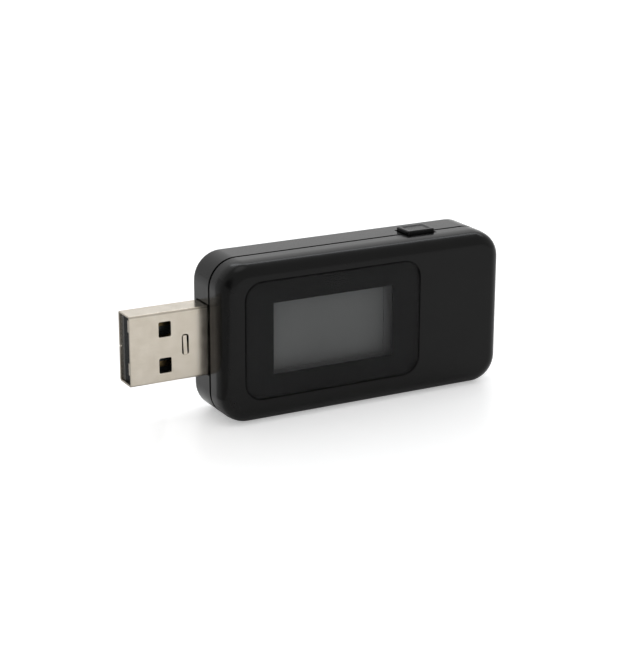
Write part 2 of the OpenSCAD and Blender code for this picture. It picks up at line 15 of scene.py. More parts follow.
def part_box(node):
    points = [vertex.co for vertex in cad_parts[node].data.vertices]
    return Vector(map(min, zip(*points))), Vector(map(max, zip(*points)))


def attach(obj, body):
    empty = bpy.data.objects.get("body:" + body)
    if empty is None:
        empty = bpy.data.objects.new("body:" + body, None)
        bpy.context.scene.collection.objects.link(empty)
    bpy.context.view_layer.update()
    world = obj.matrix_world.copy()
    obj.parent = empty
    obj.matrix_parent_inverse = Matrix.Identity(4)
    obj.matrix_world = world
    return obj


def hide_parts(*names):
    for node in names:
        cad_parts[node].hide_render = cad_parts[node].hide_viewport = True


MM = 0.001
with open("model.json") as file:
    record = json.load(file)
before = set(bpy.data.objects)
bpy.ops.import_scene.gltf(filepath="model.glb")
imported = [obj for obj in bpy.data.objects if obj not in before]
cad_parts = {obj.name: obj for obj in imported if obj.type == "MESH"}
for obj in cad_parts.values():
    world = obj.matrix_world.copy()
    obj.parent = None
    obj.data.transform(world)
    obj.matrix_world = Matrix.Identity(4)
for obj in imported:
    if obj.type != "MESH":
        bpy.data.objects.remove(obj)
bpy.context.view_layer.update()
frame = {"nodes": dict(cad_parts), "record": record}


# ------------------------------------------------------------------ sizes
# In millimetres, in case coordinates: x from the plug end of the case, y back from the front face,
# z up. What the frame's boxes give is read from them, and the rest repeats the CAD source's names.

ORIGIN = Vector((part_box("rear_cover")[0][0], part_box("front_cover")[0][1], 0))


def place(x, y, z):
    """Case millimetres as a point in the row frame."""
    return ORIGIN + Vector((x, y, z)) * MM


def node_box(name):
    """Lowest and highest corner of a CAD node, in case millimetres."""
    return [(Vector(corner) - ORIGIN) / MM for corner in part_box(name)]


COVER_HIGH = node_box("front_cover")[1]
CASE_L, CASE_H = COVER_HIGH.x, COVER_HIGH.z
CASE_T = node_box("rear_cover")[1].y
MID_Z = CASE_H / 2
CORNER_R = 4.8
SOFT_EDGE = 0.05
WALL = 1.5
# The front cover's side bows in from LEAN_Y towards the front, by FRONT_LEAN where its fillet begins.
FRONT_FILLET = 1.9
FRONT_LEAN = 0.15
LEAN_Y = 3.6
FRONT_WALL = 2.0
# The groove between the covers.
SEAM_FRONT = 5.34
SEAM_BACK = 5.86
REAR_FILLET = 1.3
REAR_FLOOR = CASE_T - 1.3
# The lip on the front cover's back: its ends in depth, its thickness and its slack in the rear cover.
LIP_ROOT, LIP_END = 4.32, 6.6
LIP_T = 0.7
LIP_SLACK = 0.1
# The posts that locate the covers, and the pins on the rear ones.
POSTS = [(x, z) for x in (6.8, 49.5) for z in (4.5, CASE_H - 4.5)]
POST_R, PIN_R, BORE_R = 1.4, 0.6, 0.65
PIN_END, FRONT_POST_END, REAR_POST_END = 5.2, 7.55, 8.75

LENS_LOW, LENS_HIGH = node_box("display_lens")
MASK_BACK = node_box("lens_mask")[1].y
LENS_R = 3.0
LENS_GAP = 0.2
# The display's visible area: its corner and its size.
VIEW_X, VIEW_Z, VIEW_W, VIEW_H = 9.5, 7.8, 22.6, 12.3

PLUG_LOW, PLUG_HIGH = node_box("plug_shell")
PLUG_R = 0.42
PLUG_BACK = 4.3
WINDOW_PITCH = 6.15
SOCKET_LOW, SOCKET_HIGH = node_box("socket_shell")
SOCKET_HALF_W = 6.55
SHEET = 0.3
STRIP = 0.26

KEY_LOW, KEY_HIGH = node_box("button_cap")
KEY_X, KEY_Y = 39.65, 6.3
KEY_HALF_L, KEY_HALF_D = 2.65, 2.0
KEY_GAP = 0.3


# ------------------------------------------------------------------ mesh helpers

def rounded_loop(x0, x1, z0, z1, radius, steps=10):
    """Points of a rounded rectangle in the x-z plane, anticlockwise seen from the front."""
    points = []
    centres = [(x1 - radius, z1 - radius), (x0 + radius, z1 - radius),
               (x0 + radius, z0 + radius), (x1 - radius, z0 + radius)]
    for quarter, (cx, cz) in enumerate(centres):
        for step in range(steps + 1):
            angle = math.pi / 2 * (quarter + step / steps)
            points.append((cx + radius * math.cos(angle), cz + radius * math.sin(angle)))
    return points


def ring(x0, x1, z0, z1, radius, y):
    """A rounded rectangle at depth y, as points in the row frame."""
    return [place(x, y, z) for x, z in rounded_loop(x0, x1, z0, z1, radius)]


def case_ring(inset, y):
    """The case's outline, set in by inset, at depth y."""
    return ring(inset, CASE_L - inset, inset, CASE_H - inset, max(CORNER_R - inset, 0.05), y)


def loft(bm, rings, first=False, last=False, loop=False):
    """Faces between neighbouring rings of points; first and last close the ends, loop joins them."""
    rows = [[bm.verts.new(p) for p in points] for points in rings]
    pairs = list(zip(rows, rows[1:]))
    if loop:
        pairs.append((rows[-1], rows[0]))
    for a, b in pairs:
        for i in range(len(a)):
            j = (i + 1) % len(a)
            bm.faces.new((a[i], a[j], b[j], b[i]))
    if first:
        bm.faces.new(list(reversed(rows[0])))
    if last:
        bm.faces.new(rows[-1])


def shade(bm, sharp=35):
    """Smooth shading, but for edges sharper than sharp degrees."""
    for face in bm.faces:
        face.smooth = True
    for edge in bm.edges:
        if len(edge.link_faces) == 2:
            edge.smooth = edge.calc_face_angle() < math.radians(sharp)


def finish_mesh(bm, name, sharp=35):
    """Makes an object of bm, its normals outwards."""
    bmesh.ops.recalc_face_normals(bm, faces=bm.faces)
    shade(bm, sharp)
    mesh = bpy.data.meshes.new(name)
    bm.to_mesh(mesh)
    bm.free()
    obj = bpy.data.objects.new(name, mesh)
    bpy.context.scene.collection.objects.link(obj)
    return obj


def box_cutter(name, x0, x1, y0, y1, z0, z1, radius=0.001, along="y"):
    """A closed block to cut with, its edges along the given axis rounded by radius."""
    bm = bmesh.new()
    steps = 5
    if along == "y":
        loops = [[place(x, y, z) for x, z in rounded_loop(x0, x1, z0, z1, radius, steps)]
                 for y in (y0, y1)]
    elif along == "x":
        loops = [[place(x, y, z) for y, z in rounded_loop(y0, y1, z0, z1, radius, steps)]
                 for x in (x0, x1)]
    else:
        loops = [[place(x, y, z) for x, y in rounded_loop(x0, x1, y0, y1, radius, steps)]
                 for z in (z0, z1)]
    loft(bm, loops, first=True, last=True)
    return finish_mesh(bm, name)


def cut(obj, cutters):
    """Cuts the cutters out of obj for good, removes them and sets the sharp edges again."""
    for cutter in cutters:
        modifier = obj.modifiers.new("cut", "BOOLEAN")
        modifier.operation = "DIFFERENCE"
        modifier.solver = "EXACT"
        modifier.object = cutter
    graph = bpy.context.evaluated_depsgraph_get()
    mesh = bpy.data.meshes.new_from_object(obj.evaluated_get(graph), depsgraph=graph)
    obj.modifiers.clear()
    old = obj.data
    obj.data = mesh
    bpy.data.meshes.remove(old)
    for cutter in cutters:
        bpy.data.objects.remove(cutter)
    bm = bmesh.new()
    bm.from_mesh(mesh)
    bmesh.ops.remove_doubles(bm, verts=bm.verts, dist=1e-7)
    shade(bm)
    bm.to_mesh(mesh)
    bm.free()


def arc(steps, start=0.0, end=90.0):
    """Sines and cosines of evenly spaced angles."""
    for step in range(steps + 1):
        angle = math.radians(start + (end - start) * step / steps)
        yield math.sin(angle), math.cos(angle)


# ------------------------------------------------------------------ materials

class Nodes:
    """A material's node tree with its shader, and short calls to add to it."""

    def __init__(self, name, **values):
        self.material = bpy.data.materials.new(name)
        self.material.use_nodes = True
        self.tree = self.material.node_tree
        self.tree.nodes.clear()
        self.output = self.add("ShaderNodeOutputMaterial")
        self.shader = self.add("ShaderNodeBsdfPrincipled")
        self.join(self.shader.outputs[0], self.output.inputs["Surface"])
        for key, value in values.items():
            self.shader.inputs[key.replace("_", " ")].default_value = value
        self.place = self.add("ShaderNodeTexCoord").outputs["Object"]

    def add(self, kind, **settings):
        node = self.tree.nodes.new(kind)
        for key, value in settings.items():
            setattr(node, key, value)
        return node

    def join(self, a, b):
        self.tree.links.new(a, b)

    def stretched(self, scale, turn):
        """The place on the object, turned and then scaled, for streaks."""
        node = self.add("ShaderNodeMapping")
        node.inputs["Scale"].default_value = scale
        node.inputs["Rotation"].default_value = [math.radians(a) for a in turn]
        self.join(self.place, node.inputs["Vector"])
        return node.outputs[0]

    def noise(self, per_mm, detail=3.0, rough=0.55, place=None):
        node = self.add("ShaderNodeTexNoise")
        node.inputs["Scale"].default_value = per_mm / MM
        node.inputs["Detail"].default_value = detail
        node.inputs["Roughness"].default_value = rough
        self.join(place or self.place, node.inputs["Vector"])
        return node.outputs["Fac"]

    def spread(self, value, low, high, start=0.3, end=0.7):
        """Maps value from start..end to low..high."""
        node = self.add("ShaderNodeMapRange")
        node.inputs["From Min"].default_value = start
        node.inputs["From Max"].default_value = end
        node.inputs["To Min"].default_value = low
        node.inputs["To Max"].default_value = high
        self.join(value, node.inputs["Value"])
        return node.outputs[0]

    def math(self, operation, a, b):
        node = self.add("ShaderNodeMath", operation=operation)
        for socket, value in zip(node.inputs, (a, b)):
            if isinstance(value, (int, float)):
                socket.default_value = value
            else:
                self.join(value, socket)
        return node.outputs[0]

    def colours(self, value, low, high):
        """A colour between low and high by value."""
        node = self.add("ShaderNodeMix", data_type="RGBA")
        node.inputs["A"].default_value = (*low, 1)
        node.inputs["B"].default_value = (*high, 1)
        self.join(value, node.inputs["Factor"])
        return node.outputs["Result"]

    def mixed(self, value, a, high):
        """Colour a towards high by value."""
        node = self.add("ShaderNodeMix", data_type="RGBA")
        self.join(a, node.inputs["A"])
        node.inputs["B"].default_value = (*high, 1)
        self.join(value, node.inputs["Factor"])
        return node.outputs["Result"]

    def worn_edges(self, radius_mm):
        """About 1 on edges and 0 on open faces: how far a rounded normal leans from the true one."""
        bevel = self.add("ShaderNodeBevel", samples=4)
        bevel.inputs["Radius"].default_value = radius_mm * MM
        true = self.add("ShaderNodeNewGeometry").outputs["Normal"]
        dot = self.add("ShaderNodeVectorMath", operation="DOT_PRODUCT")
        self.join(bevel.outputs[0], dot.inputs[0])
        self.join(true, dot.inputs[1])
        return self.spread(dot.outputs["Value"], 1.0, 0.0, 0.80, 0.995)

    def surface(self, *layers, edge_mm=0.0):
        """Bumps, each (height, strength, depth in mm), over edges rounded by edge_mm."""
        normal = None
        if edge_mm:
            bevel = self.add("ShaderNodeBevel", samples=6)
            bevel.inputs["Radius"].default_value = edge_mm * MM
            normal = bevel.outputs[0]
        for height, strength, depth in layers:
            bump = self.add("ShaderNodeBump")
            bump.inputs["Strength"].default_value = strength
            bump.inputs["Distance"].default_value = depth * MM
            self.join(height, bump.inputs["Height"])
            if normal:
                self.join(normal, bump.inputs["Normal"])
            normal = bump.outputs[0]
        self.join(normal, self.shader.inputs["Normal"])

    def colour(self, socket):
        self.join(socket, self.shader.inputs["Base Color"])

    def roughness(self, socket):
        self.join(socket, self.shader.inputs["Roughness"])


def grained_plastic(name, dark, light, rough=(0.17, 0.25), grain=0.2, edge=0.08):
    """Moulded black plastic: fine spark-eroded grain, faint flow mottling and slightly rubbed edges."""
    m = Nodes(name, Specular_IOR_Level=0.165)
    fine = m.noise(9.0, 4.0, 0.6)
    broad = m.noise(0.22, 3.0)
    worn = m.worn_edges(0.18)
    base = m.colours(m.spread(broad, 0, 1), dark, light)
    m.colour(m.mixed(m.math("MULTIPLY", worn, 0.25), base, [c * 2.2 for c in light]))
    gloss = m.math("ADD", m.math("MULTIPLY", fine, 0.6), m.math("MULTIPLY", broad, 0.4))
    m.roughness(m.spread(gloss, *rough))
    m.surface((fine, grain, 0.008), (m.noise(2.4, 2.0), 0.12, 0.012), edge_mm=edge)
    return m.material


def moulded_plastic(name, dark, light, rough=(0.35, 0.5), level=0.35):
    """Plain smooth moulded plastic for small parts."""
    m = Nodes(name, Specular_IOR_Level=level)
    fine = m.noise(5.0, 3.0)
    broad = m.noise(0.6, 2.0)
    m.colour(m.colours(m.spread(broad, 0, 1), dark, light))
    m.roughness(m.spread(fine, *rough))
    m.surface((fine, 0.15, 0.006), edge_mm=0.06)
    return m.material


def plated_metal(name, dark, light, rough=(0.16, 0.26)):
    """Stamped and plated sheet: long drawing streaks, a few scratches and cloudy patches."""
    m = Nodes(name, Metallic=1.0)
    streaks = m.noise(1.0, 5.0, 0.65, m.stretched((0.35, 0.35, 9.0), (0, 35, 0)))
    scratches = m.noise(1.0, 2.0, 0.5, m.stretched((0.15, 0.15, 22.0), (0, -20, 0)))
    clouds = m.noise(0.35, 3.0)
    pits = m.noise(7.0, 2.0)
    tone = m.math("ADD", m.math("MULTIPLY", clouds, 0.6), m.math("MULTIPLY", streaks, 0.4))
    m.colour(m.colours(m.spread(tone, 0, 1, 0.35, 0.65), dark, light))
    gloss = m.math("ADD", m.math("MULTIPLY", streaks, 0.5), m.math("MULTIPLY", clouds, 0.5))
    m.roughness(m.spread(gloss, *rough))
    m.surface((streaks, 0.02, 0.01), (scratches, 0.03, 0.008), (pits, 0.03, 0.004), edge_mm=0.06)
    return m.material


def lens_acrylic(name):
    """Clear hard-coated acrylic: lets what is behind through, and mirrors a little by Fresnel."""
    m = Nodes(name)
    m.tree.nodes.remove(m.shader)
    clear = m.add("ShaderNodeBsdfTransparent")
    clear.inputs["Color"].default_value = (0.97, 0.975, 0.975, 1)
    gloss = m.add("ShaderNodeBsdfGlossy")
    gloss.inputs["Color"].default_value = (1, 1, 1, 1)
    m.join(m.spread(m.noise(0.4, 3.0), 0.22, 0.30), gloss.inputs["Roughness"])
    glance = m.add("ShaderNodeFresnel")
    glance.inputs["IOR"].default_value = 1.225
    # Seen from inside, the lens's faces mirror nothing.
    inside = m.add("ShaderNodeNewGeometry").outputs["Backfacing"]
    mix = m.add("ShaderNodeMixShader")
    m.join(m.math("MULTIPLY", glance.outputs[0], m.math("SUBTRACT", 1.0, inside)), mix.inputs[0])
    m.join(clear.outputs[0], mix.inputs[1])
    m.join(gloss.outputs[0], mix.inputs[2])
    m.join(mix.outputs[0], m.output.inputs["Surface"])
    return m.material


def printed_ink(name):
    """Black print on the lens's back, with a trace of screen texture; on the lens's edges it is painted
    shade for the gap round the lens.
    """
    m = Nodes(name, Specular_IOR_Level=0.0)
    mesh = m.noise(6.0, 2.0)
    m.colour(m.colours(m.spread(mesh, 0, 1), (0.0036, 0.0036, 0.0037), (0.0054, 0.0054, 0.0054)))
    m.roughness(m.spread(mesh, 0.5, 0.65))
    m.surface((mesh, 0.03, 0.002))
    return m.material


def polarizer(name, dark, light):
    """The unlit display: neutral grey film with a barely visible fine texture."""
    m = Nodes(name, Specular_IOR_Level=0.1)
    fine = m.noise(8.0, 2.0)
    broad = m.noise(0.12, 2.0)
    tone = m.math("ADD", m.math("MULTIPLY", fine, 0.35), m.math("MULTIPLY", broad, 0.65))
    m.colour(m.colours(m.spread(tone, 0, 1), dark, light))
    m.roughness(m.spread(fine, 0.45, 0.6))
    m.surface((fine, 0.03, 0.002))
    return m.material


def foam(name, dark, light):
    """Closed-cell foam or dull tape."""
    m = Nodes(name, Specular_IOR_Level=0.1)
    cells = m.add("ShaderNodeTexVoronoi")
    cells.inputs["Scale"].default_value = 7.0 / MM
    m.join(m.place, cells.inputs["Vector"])
    m.colour(m.colours(m.spread(cells.outputs["Distance"], 0, 1, 0, 0.8), dark, light))
    m.roughness(m.spread(cells.outputs["Distance"], 0.7, 0.9, 0, 0.8))
    m.surface((cells.outputs["Distance"], 0.3, 0.02))
    return m.material


def board_laminate(name):
    """Green solder mask over copper: broad pours, fine tracks and the weave beneath."""
    m = Nodes(name, Specular_IOR_Level=0.5)
    brick = m.add("ShaderNodeTexBrick")
    brick.inputs["Scale"].default_value = 0.35 / MM
    brick.inputs["Mortar Size"].default_value = 0.03
    m.join(m.stretched((1, 1, 1), (90, 0, 0)), brick.inputs["Vector"])
    brick.inputs["Color1"].default_value = (1, 1, 1, 1)
    brick.inputs["Color2"].default_value = (0.7, 0.7, 0.7, 1)
    brick.inputs["Mortar"].default_value = (0, 0, 0, 1)
    weave = m.noise(2.0, 3.0)
    tracks = m.math("MULTIPLY", brick.outputs["Color"], m.spread(m.noise(0.4, 1.0), 0.4, 1.0))
    m.colour(m.colours(tracks, (0.006, 0.045, 0.02), (0.015, 0.12, 0.05)))
    m.roughness(m.spread(weave, 0.25, 0.4))
    m.surface((tracks, 0.2, 0.02), (weave, 0.1, 0.01), edge_mm=0.05)
    return m.material


def clear_plate(name, tint, alpha):
    """Glass or clear acrylic of the display's inside, seen only when it is apart."""
    m = Nodes(name, Specular_IOR_Level=0.5, Alpha=alpha)
    haze = m.noise(0.8, 2.0)
    m.colour(m.colours(haze, [c * 0.9 for c in tint], tint))
    m.roughness(m.spread(haze, 0.03, 0.1))
    m.surface((haze, 0.02, 0.005))
    return m.material


def make_materials():
    """One material per record slot."""
    return {
        "case_plastic": grained_plastic("case_plastic", (0.0038, 0.0038, 0.0037),
                                        (0.0050, 0.0050, 0.0048)),
        "key_plastic": grained_plastic("key_plastic", (0.0044, 0.0044, 0.0043),
                                       (0.0060, 0.0060, 0.0058),
                                       rough=(0.2, 0.3), grain=0.15, edge=0.05),
        "lens_acrylic": lens_acrylic("lens_acrylic"),
        "mask_ink": printed_ink("mask_ink"),
        "gasket_foam": foam("gasket_foam", (0.008, 0.008, 0.008), (0.02, 0.02, 0.02)),
        "bezel_tape": foam("bezel_tape", (0.085, 0.085, 0.086), (0.105, 0.105, 0.106)),
        "polarizer_film": polarizer("polarizer_film", (0.103, 0.1035, 0.103), (0.119, 0.1195, 0.119)),
        "display_glass": clear_plate("display_glass", (0.75, 0.82, 0.82), 0.35),
        "guide_acrylic": clear_plate("guide_acrylic", (0.85, 0.9, 0.92), 0.5),
        "white_plastic": moulded_plastic("white_plastic", (0.70, 0.70, 0.67), (0.80, 0.80, 0.77)),
        "reflector_film": moulded_plastic("reflector_film", (0.78, 0.78, 0.78), (0.86, 0.86, 0.86),
                                          rough=(0.2, 0.3)),
        "led_package": moulded_plastic("led_package", (0.78, 0.68, 0.22), (0.86, 0.80, 0.40)),
        "chip_resin": moulded_plastic("chip_resin", (0.010, 0.010, 0.011), (0.018, 0.018, 0.019),
                                      rough=(0.5, 0.65)),
        "flex_film": moulded_plastic("flex_film", (0.28, 0.10, 0.015), (0.42, 0.17, 0.03),
                                     rough=(0.25, 0.35)),
        "board_laminate": board_laminate("board_laminate"),
        "tinned_metal": plated_metal("tinned_metal", (0.42, 0.42, 0.41), (0.60, 0.60, 0.58),
                                     rough=(0.3, 0.45)),
        "shunt_alloy": moulded_plastic("shunt_alloy", (0.02, 0.02, 0.024), (0.04, 0.04, 0.045)),
        "capacitor_ceramic": moulded_plastic("capacitor_ceramic", (0.30, 0.19, 0.09),
                                             (0.40, 0.27, 0.14)),
        "resistor_ceramic": moulded_plastic("resistor_ceramic", (0.010, 0.010, 0.010),
                                            (0.02, 0.02, 0.02)),
        "plug_metal": plated_metal("plug_metal", (0.525, 0.472, 0.392), (0.632, 0.578, 0.497)),
        "plug_plastic": moulded_plastic("plug_plastic", (0.012, 0.014, 0.014), (0.018, 0.020, 0.020),
                                        rough=(0.2, 0.3), level=0.5),
        # The gold contacts are darkened far below plated gold, as painted shade for their place deep
        # inside the plug.
        "contact_metal": plated_metal("contact_metal", (0.10, 0.07, 0.035), (0.15, 0.11, 0.05),
                                      rough=(0.25, 0.38)),
        "socket_metal": plated_metal("socket_metal", (0.50, 0.48, 0.45), (0.62, 0.60, 0.57)),
        "socket_plastic": moulded_plastic("socket_plastic", (0.010, 0.010, 0.010),
                                          (0.016, 0.016, 0.016)),
        "switch_plastic": moulded_plastic("switch_plastic", (0.012, 0.012, 0.012),
                                          (0.02, 0.02, 0.02)),
        "spring_metal": plated_metal("spring_metal", (0.50, 0.50, 0.50), (0.66, 0.66, 0.66)),
        "plunger_plastic": moulded_plastic("plunger_plastic", (0.10, 0.10, 0.10), (0.14, 0.14, 0.14)),
    }


def paint(obj, material):
    """Gives obj that material alone."""
    obj.data.materials.clear()
    obj.data.materials.append(material)


# ------------------------------------------------------------------ covers

FILLET_STEPS = 14


def soft_rim(seam):
    """Insets and depths round the small edge where a cover's side meets the seam."""
    return [(SOFT_EDGE * (1 - c), seam - SOFT_EDGE * (1 - s)) for s, c in arc(3)]


def front_profile():
    """Insets and depths from the front face round its fillet, down the bowed side, to the seam."""
    bend = 2 * math.degrees(math.atan2(FRONT_LEAN, LEAN_Y - FRONT_FILLET))
    fillet = FRONT_FILLET / (1 - math.sin(math.radians(bend)))
    edge = FRONT_LEAN + fillet * math.cos(math.radians(bend))
    profile = [(edge - fillet * s, fillet * (1 - c)) for s, c in arc(FILLET_STEPS, 0, 90 - bend)]
    bow = (LEAN_Y - FRONT_FILLET) / math.sin(math.radians(bend))
    profile += [(bow * (1 - c), LEAN_Y - bow * s) for s, c in list(arc(5, bend, 0))[1:]]
    return profile + soft_rim(SEAM_FRONT)


def rear_profile(depth):
    """Insets and heights above the back face, round its fillet, to the seam."""
    fillet = [(REAR_FILLET * (1 - s), REAR_FILLET * (1 - c)) for s, c in arc(FILLET_STEPS)]
    return fillet + soft_rim(depth)


def opening_cutters():
    """Cutters for the plug, the socket and the key."""
    gap = 0.18
    plug = box_cutter("cut_plug", -2, 5, PLUG_LOW.y - gap, PLUG_HIGH.y + gap,
                      PLUG_LOW.z - gap, PLUG_HIGH.z + gap, 0.45, "x")
    socket_half_w = SOCKET_HALF_W + 0.1
    socket = box_cutter("cut_socket", 38, CASE_L + 2, SOCKET_LOW.y - 0.05, SOCKET_HIGH.y + 0.05,
                        MID_Z - socket_half_w, MID_Z + socket_half_w, 0.6, "x")
    half_l, half_d = KEY_HALF_L + KEY_GAP, KEY_HALF_D + KEY_GAP
    key = box_cutter("cut_key", KEY_X - half_l, KEY_X + half_l, KEY_Y - half_d, KEY_Y + half_d,
                     CASE_H - 4, CASE_H + 1, 0.25, "z")
    return [plug, socket, key]


def add_post(bm, x, z, radius, y0, y1, hole=0.0):
    """A post along y, hollow from its far end if hole is given."""
    turns = [2 * math.pi * i / 24 for i in range(24)]

    def circle(r, y):
        return [place(x + r * math.cos(turn), y, z + r * math.sin(turn)) for turn in turns]

    rings = [circle(radius, y0), circle(radius, y1)]
    if hole:
        rings += [circle(hole, y1), circle(hole, y0 + 1)]
    loft(bm, rings, first=True, last=True)


def build_front_cover():
    """The front shell, with the lens's pocket, the locating lip and the posts."""
    bm = bmesh.new()
    pocket = [LENS_LOW.x - LENS_GAP, LENS_HIGH.x + LENS_GAP, LENS_LOW.z - LENS_GAP,
              LENS_HIGH.z + LENS_GAP, LENS_R + LENS_GAP]
    window = [VIEW_X - 0.6, VIEW_X + VIEW_W + 0.9, VIEW_Z - 0.6, VIEW_Z + VIEW_H + 0.6, 0.05]
    rings = [ring(*window, FRONT_WALL), ring(*window, MASK_BACK), ring(*pocket, MASK_BACK),
             ring(*pocket, SOFT_EDGE)]
    for s, c in arc(3):
        grow = SOFT_EDGE * (1 - c)
        rings.append(ring(pocket[0] - grow, pocket[1] + grow, pocket[2] - grow, pocket[3] + grow,
                          pocket[4] + grow, SOFT_EDGE * (1 - s)))
    rings += [case_ring(inset, y) for inset, y in front_profile()]
    lip = WALL + LIP_SLACK
    rings += [case_ring(inset, y) for inset, y in
              [(lip, SEAM_FRONT), (lip, LIP_END), (lip + LIP_T, LIP_END), (lip + LIP_T, LIP_ROOT),
               (WALL, LIP_ROOT), (WALL, FRONT_WALL)]]
    loft(bm, rings, loop=True)
    cover = finish_mesh(bm, "case_front")
    # The lip gives way to the plug, the socket and the key's flange.
    start, end, deep = 4.3, 8, WALL + 2
    plug_half_w, socket_half_w = 6.5, 7.05
    extra = [box_cutter("cut_lip_plug", WALL, deep, start, end,
                        MID_Z - plug_half_w, MID_Z + plug_half_w),
             box_cutter("cut_lip_socket", CASE_L - deep, CASE_L - WALL, start, end,
                        MID_Z - socket_half_w, MID_Z + socket_half_w),
             box_cutter("cut_lip_key", KEY_LOW.x - 0.3, KEY_HIGH.x + 0.3, 4.1, end,
                        CASE_H - deep, CASE_H - WALL)]
    cut(cover, opening_cutters() + extra)
    posts = bmesh.new()
    posts.from_mesh(cover.data)
    for x, z in POSTS:
        add_post(posts, x, z, POST_R, FRONT_WALL - 0.05, FRONT_POST_END, hole=BORE_R)
    posts.to_mesh(cover.data)
    posts.free()
    return cover


def build_rear_cover():
    """The rear shell with its pinned posts."""
    bm = bmesh.new()
    depth = CASE_T - SEAM_BACK
    rings = [case_ring(inset, CASE_T - y) for inset, y in rear_profile(depth)]
    rings += [case_ring(WALL, SEAM_BACK), case_ring(WALL, REAR_FLOOR)]
    loft(bm, rings, first=True, last=True)
    cover = finish_mesh(bm, "case_rear")
    half_w = 6.1
    notch = box_cutter("cut_notch", -1, WALL + 1, SEAM_BACK - 1, PLUG_LOW.y + 0.6,
                       MID_Z - half_w, MID_Z + half_w)
    cut(cover, opening_cutters() + [notch])
    posts = bmesh.new()
    posts.from_mesh(cover.data)
    for x, z in POSTS:
        add_post(posts, x, z, POST_R, REAR_POST_END, REAR_FLOOR + 0.05)
        add_post(posts, x, z, PIN_R, PIN_END, REAR_POST_END + 0.05)
    posts.to_mesh(cover.data)
    posts.free()
    return cover


def build_lens():
    """The clear lens, its front edge broken and its back just clear of the print."""
    bm = bmesh.new()
    edge = 0.03
    low, high = LENS_LOW, LENS_HIGH
    rings = []
    for inset, y in [(edge, 0.0), (edge * 0.3, edge * 0.3), (0.0, edge), (0.0, high.y - 0.02)]:
        rings.append(ring(low.x + inset, high.x - inset, low.z + inset, high.z - inset,
                          LENS_R - inset, y))
    loft(bm, rings, first=True, last=True)
    lens = finish_mesh(bm, "window_lens")
    # The lens's edge faces take the black ink too: painted shade, so that the hairline gap round the
    # lens reads dark.
    for face in lens.data.polygons:
        face.material_index = int(abs(face.normal.y) < 0.5)
    return lens


# ------------------------------------------------------------------ key

def build_key():
    """The key: a flanged block with rounded edges and a shallow dish in its top."""
    bm = bmesh.new()
    top, round_r, rim, dish = KEY_HIGH.z, 0.22, 0.45, 0.16

    def level(x0, x1, inset, z, radius):
        loop = rounded_loop(x0 + inset, x1 - inset, KEY_Y - KEY_HALF_D + inset,
                            KEY_Y + KEY_HALF_D - inset, radius, 6)
        return [place(x, y, z) for x, y in loop]

    def block(inset, z):
        return level(KEY_X - KEY_HALF_L, KEY_X + KEY_HALF_L, inset, z, 0.3)

    rings = [block(0, KEY_LOW.z), block(0, top - round_r)]
    rings += [block(round_r * (1 - c), top - round_r * (1 - s)) for s, c in arc(5, 15)]
    rings += [block(round_r + rim * 0.5, top)]
    for part in range(1, 7):
        t = part / 6
        rings.append(block(round_r + rim * (0.5 + t), top - dish * (3 * t * t - 2 * t ** 3)))
    loft(bm, rings, first=True, last=True)
    flange = [level(KEY_LOW.x, KEY_HIGH.x, 0, z, 0.2) for z in (KEY_LOW.z, KEY_LOW.z + 0.5)]
    loft(bm, flange, first=True, last=True)
    return finish_mesh(bm, "key_cap", sharp=50)


# ------------------------------------------------------------------ plug and socket

def section(low, high, inset, x, radius, steps):
    """A rounded rectangle across x: low and high are its corners in (y, z), set in by inset."""
    loop = rounded_loop(low[0] + inset, high[0] - inset, low[1] + inset, high[1] - inset,
                        radius, steps)
    return [place(x, y, z) for y, z in loop]


def add_strip(bm, points, half_width, centre, thickness, upright=False):
    """A bent strip of sheet: points are (x, y) of its middle line, its width lies along z.

    Upright, points are (z, y) and the width lies along x.
    """
    rings = []
    for i, (u, y) in enumerate(points):
        before, after = points[max(i - 1, 0)], points[min(i + 1, len(points) - 1)]
        along = Vector((after[0] - before[0], after[1] - before[1])).normalized()
        side = Vector((-along.y, along.x)) * thickness / 2
        corners = [(u + side.x, y + side.y, centre - half_width),
                   (u + side.x, y + side.y, centre + half_width),
                   (u - side.x, y - side.y, centre + half_width),
                   (u - side.x, y - side.y, centre - half_width)]
        rings.append([place(*(corner[::-1] if upright else corner)) for corner in corners])
    loft(bm, rings, first=True, last=True)


def build_plug_sleeve():
    """The plug's drawn tube, the edges of its mouth softened."""
    low, high = (PLUG_LOW.y, PLUG_LOW.z), (PLUG_HIGH.y, PLUG_HIGH.z)
    tip, soft = PLUG_LOW.x, 0.05
    profile = [(SHEET, PLUG_BACK), (SHEET, tip + soft), (SHEET - soft, tip), (soft, tip),
               (0, tip + soft), (0, PLUG_BACK)]
    bm = bmesh.new()
    rings = [section(low, high, inset, x, max(PLUG_R - inset, 0.12), 8) for inset, x in profile]
    loft(bm, rings, loop=True)
    return finish_mesh(bm, "plug_sleeve")


